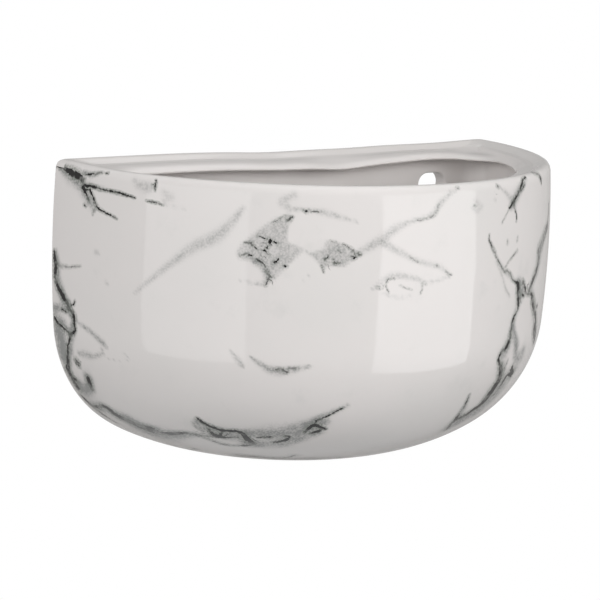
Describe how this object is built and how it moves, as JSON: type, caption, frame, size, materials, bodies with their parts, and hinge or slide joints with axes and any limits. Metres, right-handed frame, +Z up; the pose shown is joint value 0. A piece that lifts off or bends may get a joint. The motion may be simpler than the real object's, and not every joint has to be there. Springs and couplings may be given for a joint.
{
  "type": "wall planter",
  "caption": "Half-round marbled ceramic planter that hangs flat on a wall from slots in its back, with a wide inward lip round a deep planting bowl.",
  "frame": {"origin": "midway between the centres of the hanging slots, on the plane of the back, which is the wall's surface", "axes": "+Z up, +X to the right seen from the front, +Y into the wall, so the planter lies at -Y"},
  "size_m": [0.203, 0.1059, 0.1127],
  "materials": {
    "marbled_glaze": "gloss",
    "white_glaze": "gloss",
    "bare_clay": "matt"
  },
  "bodies": {
    "root": {"bowl_wall": "marbled_glaze", "back_wall": "white_glaze", "lip": "white_glaze", "foot_ring": "bare_clay"}
  },
  "joints": []
}
